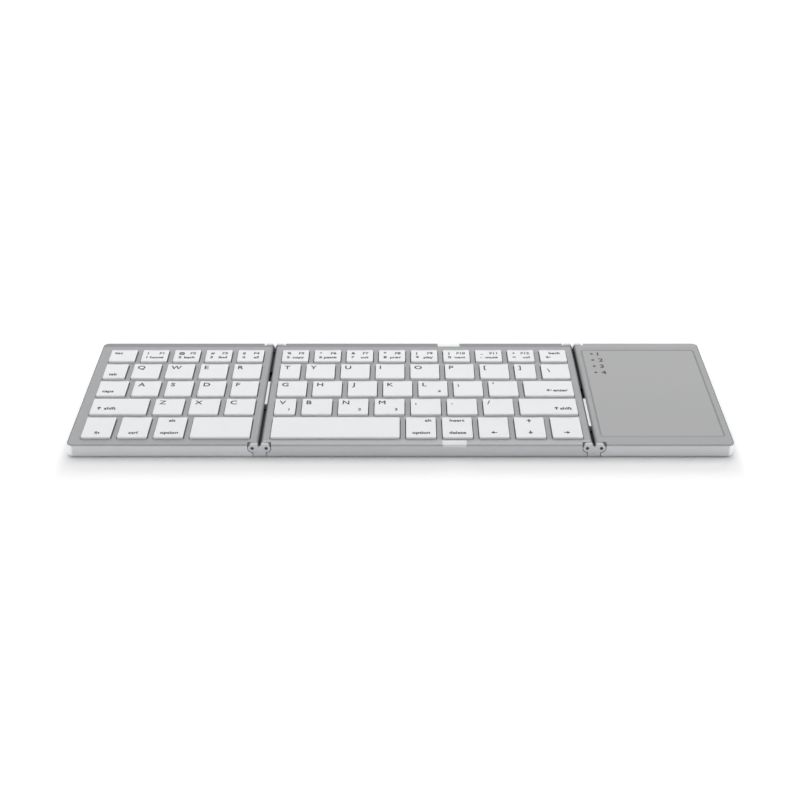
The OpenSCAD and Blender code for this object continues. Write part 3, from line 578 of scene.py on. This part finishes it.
def cap(x_span, y_span, z_span, stem_z):
    """A cup turned over: rings carried from the middle of its top, down its skirt, in along
    its roof and down a round stem to stem_z."""
    width = x_span[1] - x_span[0]
    depth = y_span[1] - y_span[0]
    top = z_span[1]
    edge = rounded_loop(width, depth, CAP_CORNER, CAP_EDGE)
    rings = [np.c_[edge * share, np.full(len(edge), top)] for share in TOP_RINGS]
    for turn in np.linspace(0, np.pi / 2, 6)[1:]:
        loop = rounded_loop(width, depth, CAP_CORNER, CAP_EDGE * (1 - np.sin(turn)))
        rings.append(np.c_[loop, np.full(len(loop), top - CAP_EDGE * (1 - np.cos(turn)))])
    skirt = rounded_loop(width, depth, CAP_CORNER)
    inner = rounded_loop(width, depth, CAP_CORNER, CAP_WALL)
    roof = top - CAP_TOP
    turn = (np.arctan2(inner[0, 1], inner[0, 0])
            + np.linspace(0, 2 * np.pi, len(inner), endpoint=False))
    stem = STEM_RADIUS * np.stack([np.cos(turn), np.sin(turn)], 1)
    rings += [np.c_[loop, np.full(len(loop), z)]
              for loop, z in ((skirt, z_span[0]), (inner, z_span[0]), (inner, roof),
                              (stem, roof), (stem, stem_z))]
    points = len(edge)
    body = np.concatenate(rings)
    on_top = slice(0, len(TOP_RINGS) * points)
    body[on_top, 2] -= dish_depth(body[on_top, 0], width)
    poles = np.array([[0, 0, top - dish_depth(np.zeros(1), width)[0]], [0, 0, stem_z]])
    vertices = np.concatenate([body, poles])
    vertices[:, :2] += (sum(x_span) / 2, sum(y_span) / 2)
    last = len(body)
    return (vertices, grid_faces(len(rings), points)[:, ::-1],
            pole_faces(last, 0, points, False),
            pole_faces(last + 1, (len(rings) - 1) * points, points, True))


white_abs, tree, shader = new_material(
    "white_abs", {"Subsurface Weight": 0.05, "Subsurface Radius": (MM, MM, MM)})
add_grain(tree, shader, SPARK_GRAIN, 0.008 * MM, (0.42, 0.55))
base = tint_slowly(tree, shader, 12 * MM, "EBECED", "EFF0F1")
# the rounded edges and the skirts get a painted highlight and look whiter than the faces
where = add_node(tree, "ShaderNodeTexCoord")
facing = add_node(tree, "ShaderNodeSeparateXYZ", None, {0: where.outputs["Normal"]})
edge_highlight = add_node(tree, "ShaderNodeMapRange", {"From Min": 0.98, "From Max": 0.85},
                   {"Value": facing.outputs["Z"]})
base = add_node(tree, "ShaderNodeMix", {"data_type": "RGBA", 7: linear("FAFAFB")},
                {0: edge_highlight.outputs[0], 6: base}).outputs[2]
# the skirts to the left and right are painted darker: painted shade for the gaps between the
# keys of a row
beside = add_node(tree, "ShaderNodeMath", {"operation": "ABSOLUTE"}, {0: facing.outputs["X"]})
side_skirt_shade = add_node(tree, "ShaderNodeMapRange", {"From Min": 0.75, "From Max": 0.95},
                    {"Value": beside.outputs[0]})
base = add_node(tree, "ShaderNodeMix", {"data_type": "RGBA", 7: linear("8C8D8F")},
                {0: side_skirt_shade.outputs[0], 6: base}).outputs[2]
tree.links.new(base, shader.inputs["Base Color"])

# ---- key legends ----
# Dark grey ink, pad printed on the caps: letters near the upper left corner, two lines on
# the number row, plain words on the command keys and arrows on the cursor keys.

INK_HEIGHT = 0.02 * MM
INK_SINK = 0.005 * MM
INK_SPREAD = 0.13 * MM  # the ink squeezes out past the font's own outline
LETTER = 3.5 * MM
SIGN = 2.2 * MM
WORD = 2.3 * MM
LONG_WORD = 2.4 * MM
ARROW = 2.8 * MM
ARROW_HEAD = 0.45  # half the head's width as a share of the arrow's length
ARROW_SHAFT = 0.12  # half the shaft's width, as the same share
MARGIN_X = 2.0 * MM
MARGIN_Y = 1.7 * MM
CAPITAL = 0.73  # height of the font's capitals as a share of its size
HALF_THICK = 0.01  # only its sign is used, to tell the upper face of a mark from the lower

ink, tree, shader = new_material("pad_printed_ink", {"Roughness": 0.6})
tint_slowly(tree, shader, 1 * MM, "323437", "3E4043")

text_curve = bpy.data.curves.new("legend", "FONT")
text_curve.extrude = HALF_THICK
text_curve.resolution_u = 3
text_object = bpy.data.objects.new("legend", text_curve)


def letters(words, height):
    """Vertices and faces of a word, its lower left corner at zero, for a capital's height.

    Each point of the outline moves out along the sum of its side normals."""
    text_curve.body = words
    mesh = bpy.data.meshes.new_from_object(text_object)
    place, normal = np.empty((2, len(mesh.vertices) * 3))
    mesh.vertices.foreach_get("co", place)
    mesh.vertex_normals.foreach_get("vector", normal)
    place = place.reshape(-1, 3)
    faces = [tuple(polygon.vertices) for polygon in mesh.polygons]
    bpy.data.meshes.remove(mesh)
    point = np.unique(place[:, :2].round(5), axis=0, return_inverse=True)[1].ravel()
    outward = np.zeros((point.max() + 1, 2))
    np.add.at(outward, point, normal.reshape(-1, 3)[:, :2])
    outward /= np.maximum(np.linalg.norm(outward, axis=1, keepdims=True), 1e-9)
    place[:, :2] *= height / CAPITAL
    place[:, :2] += INK_SPREAD * outward[point]
    place[:, 0] -= place[:, 0].min()
    return place, faces


def arrow(turn, height):
    """An arrow with a narrow shaft and a wide head, turned by quarter turns."""
    outline = np.array([[-0.5, 0], [0, -ARROW_HEAD], [0, -ARROW_SHAFT], [0.5, -ARROW_SHAFT],
                        [0.5, ARROW_SHAFT], [0, ARROW_SHAFT], [0, ARROW_HEAD]]) * height
    c, s = np.cos(turn * np.pi / 2), np.sin(turn * np.pi / 2)
    outline = outline @ np.array([[c, s], [-s, c]])
    outline -= outline.min(axis=0)
    count = len(outline)
    place = np.concatenate([np.c_[outline, np.full(count, -HALF_THICK)],
                            np.c_[outline, np.full(count, HALF_THICK)]])
    sides = [(i, (i + 1) % count, (i + 1) % count + count, i + count) for i in range(count)]
    return place, [tuple(range(count))[::-1], tuple(range(count, 2 * count))] + sides


ARROW_TURNS = {"left arrow": 0, "down arrow": 1, "right arrow": 2, "up arrow": 3}


def legend(mark, corner, height, x_span, y_span, top):
    """One mark at shares (0 to 1) of the free room on a cap, laid on its dish."""
    if mark in ARROW_TURNS:
        place, faces = arrow(ARROW_TURNS[mark], height)
        tall = place[:, 1].max()
    else:
        place, faces = letters(mark, height)
        tall = height
    width = place[:, 0].max()
    free_x = x_span[1] - x_span[0] - 2 * MARGIN_X - width
    free_y = y_span[1] - y_span[0] - 2 * MARGIN_Y - tall
    share_x, share_y = corner
    place[:, 0] += x_span[0] + MARGIN_X + free_x * share_x
    place[:, 1] += y_span[0] + MARGIN_Y + free_y * share_y
    above = place[:, 2] > 0
    middle = sum(x_span) / 2
    place[:, 2] = (top - dish_depth(place[:, 0] - middle, x_span[1] - x_span[0])
                   + np.where(above, INK_HEIGHT, -INK_SINK))
    return place, faces


# places of a mark as shares of the free room to the right and to the back
UP_LEFT, UP_MIDDLE, UP_RIGHT = (0, 1), (0.5, 1), (1, 1)
LOW_MIDDLE, LOW_RIGHT = (0.5, 0.13), (0.85, 0.2)
NUMBER_LEFT, NUMBER_RIGHT, NUMBER_UP, NUMBER_LOW = 0.05, 0.95, 0.9, 0.25


def letter_keys(text, extras=""):
    """A letter on each cap, and a small digit low on the right where extras has one."""
    extras = extras.ljust(len(text))
    return [[(c, UP_LEFT, LETTER)] + [(extra, LOW_RIGHT, SIGN)] * (extra != " ")
            for c, extra in zip(text, extras)]


def number_keys(digits, signs, first, words):
    """Two lines on each cap: sign and function number above, digit and a word below."""
    return [[(sign, (NUMBER_LEFT, NUMBER_UP), SIGN),
             (f"F{first + i}", (NUMBER_RIGHT, NUMBER_UP), SIGN),
             (digit, (NUMBER_LEFT, NUMBER_LOW), WORD),
             (word, (NUMBER_RIGHT, NUMBER_LOW), SIGN)]
            for i, (digit, sign, word) in enumerate(zip(digits, signs, words))]


def word_key(word, corner=LOW_MIDDLE, height=WORD):
    """One word on one cap."""
    return [[(word, corner, height)]]


# for each key body, the marks on each of its caps: what is printed, its place and its height
LEGENDS = {
    "key_esc": word_key("esc", (0, 0.95)),
    "keys_1_to_4": number_keys("1234", "!@#$", 1, ("home", "back", "find", "all")),
    "keys_5_to_8": number_keys("5678", "%^&*", 5, ("copy", "paste", "cut", "prev")),
    "keys_9_to_equals": number_keys("90-=", "()_+", 9, ("play", "next", "mute", "vol")),
    "key_backspace": [[("back", (0.8, 0.95), WORD), ("left arrow", (0.1, 0.25), ARROW)]],
    "key_tab": word_key("tab", (0.2, 0.15)),
    "keys_q_to_r": letter_keys("QWER"),
    "keys_t_to_i": letter_keys("TYUI"),
    "keys_o_to_bracket": letter_keys("OP[]"),
    "key_backslash": word_key("\\", (0.1, 0.6), LETTER),
    "key_caps": word_key("caps", (0.1, 0.2)),
    "keys_a_to_f": letter_keys("ASDF"),
    "keys_g_to_k": letter_keys("GHJK"),
    "keys_l_to_quote": letter_keys("L;'", "4"),
    "key_enter": [[("left arrow", (0.5, 0.27), ARROW), ("enter", (0.95, 0.27), LONG_WORD)]],
    "key_left_shift": [[("up arrow", (0.03, 0.27), ARROW), ("shift", (0.25, 0.27), LONG_WORD)]],
    "keys_z_to_c": letter_keys("ZXC"),
    "keys_v_to_m": letter_keys("VBNM", "1 23"),
    "keys_comma_to_slash": letter_keys(",./"),
    "key_right_shift": [[("up arrow", (0.68, 0.27), ARROW), ("shift", (0.97, 0.27), LONG_WORD)]],
    "key_fn": word_key("fn"),
    "key_ctrl": word_key("ctrl"),
    "key_alt": [[("alt", UP_MIDDLE, SIGN), ("option", LOW_MIDDLE, WORD)]],
    "key_left_space": [[]],
    "key_right_space": [[]],
    "key_right_alt": [[("alt", UP_RIGHT, SIGN), ("option", LOW_MIDDLE, WORD)]],
    "key_delete": [[("insert", UP_MIDDLE, SIGN), ("delete", LOW_MIDDLE, WORD)]],
    "key_left_arrow": [[("left arrow", LOW_MIDDLE, ARROW)]],
    "key_up_down": [[("up arrow", UP_MIDDLE, ARROW), ("down arrow", LOW_MIDDLE, ARROW)]],
    "key_right_arrow": [[("right arrow", LOW_MIDDLE, ARROW)]],
}


def by_corners(place, faces):
    """One mark as a part for add_piece: its faces in groups of equal corner count."""
    counts = sorted({len(face) for face in faces})
    return (place, *[[face for face in faces if len(face) == count] for count in counts])


stem_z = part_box("centre_domes")[1].z + STEM_GAP
for name, marks in LEGENDS.items():
    low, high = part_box(name)
    spans = islands(name, 0)
    y_span = (low.y, high.y)
    caps = [cap(tuple(span), y_span, (low.z, high.z), stem_z) for span in spans]
    piece = add_piece(f"{name}_cap", caps, white_abs, name, [name], smooth=50)
    prints = [by_corners(*legend(*mark, tuple(span), y_span, high.z))
              for span, on_cap in zip(spans, marks) for mark in on_cap]
    if prints:
        add_piece(f"{name}_legend", prints, ink, name)

# ---- touch surface ----
# A sheet of etched glass-filled plastic with a matt grey skin, let into the deck of
# the right wing. Beside the hinge four smoked lenses sit in it, with plain numbers.

SHEET_CORNER = 1.5 * MM
SHEET_BORDER = 0.7 * MM
ETCH_GRAIN = 0.5 * MM  # the etched grain is near 0.02 mm, which is too fine to show
LENS_CROWN = 0.08 * MM

touch_sheet, tree, shader = new_material(
    "etched_touch_sheet", {"Coat Weight": 0.1, "Coat Roughness": 0.35})
add_grain(tree, shader, ETCH_GRAIN, 0.004 * MM, (0.4, 0.5))
base = tint_slowly(tree, shader, 25 * MM, "A2A3A3", "A7A7A7")
# a band of painted shade runs round the edge of the sheet
low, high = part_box("touch_surface")
inset = Vector((SHEET_CORNER, SHEET_CORNER, 0))
from_middle = distance_past(tree, (low + high) / 2, (high - low) / 2 - inset)
border_shade = add_node(tree, "ShaderNodeMath",
                     {"operation": "GREATER_THAN", 1: SHEET_CORNER - SHEET_BORDER},
                     {0: from_middle})
base = add_node(tree, "ShaderNodeMix", {"data_type": "RGBA", 7: linear("8A8B8C")},
                {0: border_shade.outputs[0], 6: base}).outputs[2]
tree.links.new(base, shader.inputs["Base Color"])
paint_node("touch_surface", touch_sheet)

lens_plastic, tree, shader = new_material(
    "smoked_polycarbonate", {"Roughness": 0.08, "Coat Weight": 0.5})
tint_slowly(tree, shader, 1 * MM, "2E3134", "3C3F42")
low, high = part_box("indicator_lenses")
lens_radius = (high.x - low.x) / 2
lens_x = (low.x + high.x) / 2
lens_rows = islands("indicator_lenses", 1).mean(axis=1)
# half a lens: its flat foot, its side, and a quarter of an ellipse up to its crown
crown = np.linspace(0, np.pi / 2, 6)[:-1]
radii = np.concatenate([[0.5, 1], np.cos(crown)]) * lens_radius
heights = np.concatenate([[low.z, low.z], high.z + LENS_CROWN * np.sin(crown)])
lenses = [revolve(radii, heights, (lens_x, y, 0), 24) for y in lens_rows]
piece = add_piece("crowned_lenses", lenses, lens_plastic, "right_wing", ["indicator_lenses"])

NUMBER_GAP = 2.0 * MM
numbers = []
for digit, y in zip("4321", lens_rows):
    place, faces = letters(digit, LETTER)
    above = place[:, 2] > 0
    place += (high.x + NUMBER_GAP, y - LETTER / 2, 0)
    place[:, 2] = high.z + np.where(above, INK_HEIGHT, -INK_SINK)
    numbers.append(by_corners(place, faces))
add_piece("indicator_numbers", numbers, ink, "right_wing")

# ---- electronics ----
# Green solder-masked boards, a foil battery pouch, a stamped steel socket and the black
# flat cables of polyimide film that pass through the hinges.

FOIL_CREASE = 1.2 * MM
STAMPED_GRAIN = 0.4 * MM  # rolling marks are finer than this, but would not show

laminate, tree, shader = new_material(
    "glass_epoxy_board", {"Coat Weight": 0.4, "Coat Roughness": 0.2, "Roughness": 0.45})
tint_slowly(tree, shader, 1.5 * MM, "0F4A2A", "1C6038")
for name in ("touch_board", "main_board"):
    paint_node(name, laminate)
foil, tree, shader = new_material("battery_foil", {"Metallic": 1.0})
add_grain(tree, shader, FOIL_CREASE, 0.06 * MM, (0.25, 0.4))
tint_slowly(tree, shader, 8 * MM, "A8A9AC", "B6B7BA")
paint_node("battery", foil)
stamped, tree, shader = new_material(
    "stamped_steel", {"Metallic": 1.0, "Base Color": linear("BDBEC0")})
add_grain(tree, shader, STAMPED_GRAIN, 0.008 * MM, (0.22, 0.34))
paint_node("charging_socket", stamped)
polyimide, tree, shader = new_material("polyimide_film", {"Coat Weight": 0.5, "Roughness": 0.3})
tint_slowly(tree, shader, 2 * MM, "141416", "1C1C1F")

# each cable is two flat strips that meet at the seam
CABLE_TRACKS = 8
TRACK_HEIGHT = 0.04 * MM
TRACK_STEPS = 8
STRIP_STEPS = 32


def flat_strip(x_span, y_span, z_span):
    """A flat section with a wave of raised tracks on top, carried along X in even steps."""
    y = np.linspace(*y_span, TRACK_STEPS * CABLE_TRACKS + 1)
    wave = np.cos(np.linspace(0, 2 * np.pi * CABLE_TRACKS, len(y)))
    top = z_span[1] - TRACK_HEIGHT * (1 + wave) / 2
    section = np.concatenate([np.c_[y, np.full(len(y), z_span[0])], np.c_[y, top][::-1]])
    x = np.linspace(*x_span, STRIP_STEPS + 1)
    points = len(section)
    body = np.concatenate([np.repeat(x, points)[:, None], np.tile(section, (len(x), 1))], axis=1)
    first_end = np.arange(points)[::-1]
    last_end = np.arange(points) + len(body) - points
    return body, grid_faces(len(x), points), [first_end], [last_end]


for side, toward_centre in (("left", 1), ("right", -1)):
    cable = f"{side}_flex_cable"
    low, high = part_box(cable)
    seam = (low.x + high.x) / 2
    hinge_axes = islands(f"{side}_hinge_pins", 0).mean(axis=1)
    for panel, way in (("centre_panel", toward_centre), (f"{side}_wing", -toward_centre)):
        x_span = (seam, high.x) if way > 0 else (low.x, seam)
        strip = flat_strip(x_span, (low.y, high.y), (low.z, high.z))
        piece = add_piece(f"{side}_flat_cable_to_{panel}", [strip], polyimide, None, [cable])
        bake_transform(piece)

# ---- hinges ----
# Between two panels stands a cast link with a black painted ridge, a bright fin in the
# slot and silver end plates, which hold dark turned pins.

PLATE_DEPTH = 2.1 * MM
RIDGE_TO = 3.3 * MM
BARE_METALLIC = 0.8

link_metal, tree, shader = new_material("painted_zinc_casting", {"Roughness": 0.35})
plate_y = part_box("left_hinge_spine")[1].y - PLATE_DEPTH
between_plates = inside(tree, (-BEYOND, -plate_y, -BEYOND), (BEYOND, plate_y, BEYOND))
ridge = inside(tree, (-BEYOND, -plate_y, -BEYOND), (BEYOND, plate_y, RIDGE_TO))
base = add_node(tree, "ShaderNodeMix",
                {"data_type": "RGBA", 6: linear("C6C7C9"), 7: linear("E6E7E8")},
                {0: between_plates}).outputs[2]
base = add_node(tree, "ShaderNodeMix", {"data_type": "RGBA", 7: linear("131415")},
                {0: ridge, 6: base}).outputs[2]
tree.links.new(base, shader.inputs["Base Color"])
metallic = add_node(tree, "ShaderNodeMapRange", {"To Min": BARE_METALLIC, "To Max": 0.0},
                    {"Value": ridge})
tree.links.new(metallic.outputs[0], shader.inputs["Metallic"])
turned, tree, shader = new_material(
    "turned_steel_pin", {"Metallic": 1.0, "Base Color": linear("4A4B4E")})
add_grain(tree, shader, TURNING_GRAIN, 0.01 * MM, (0.25, 0.4))
for side in ("left", "right"):
    paint_node(f"{side}_hinge_spine", link_metal)
    paint_node(f"{side}_hinge_pins", turned)
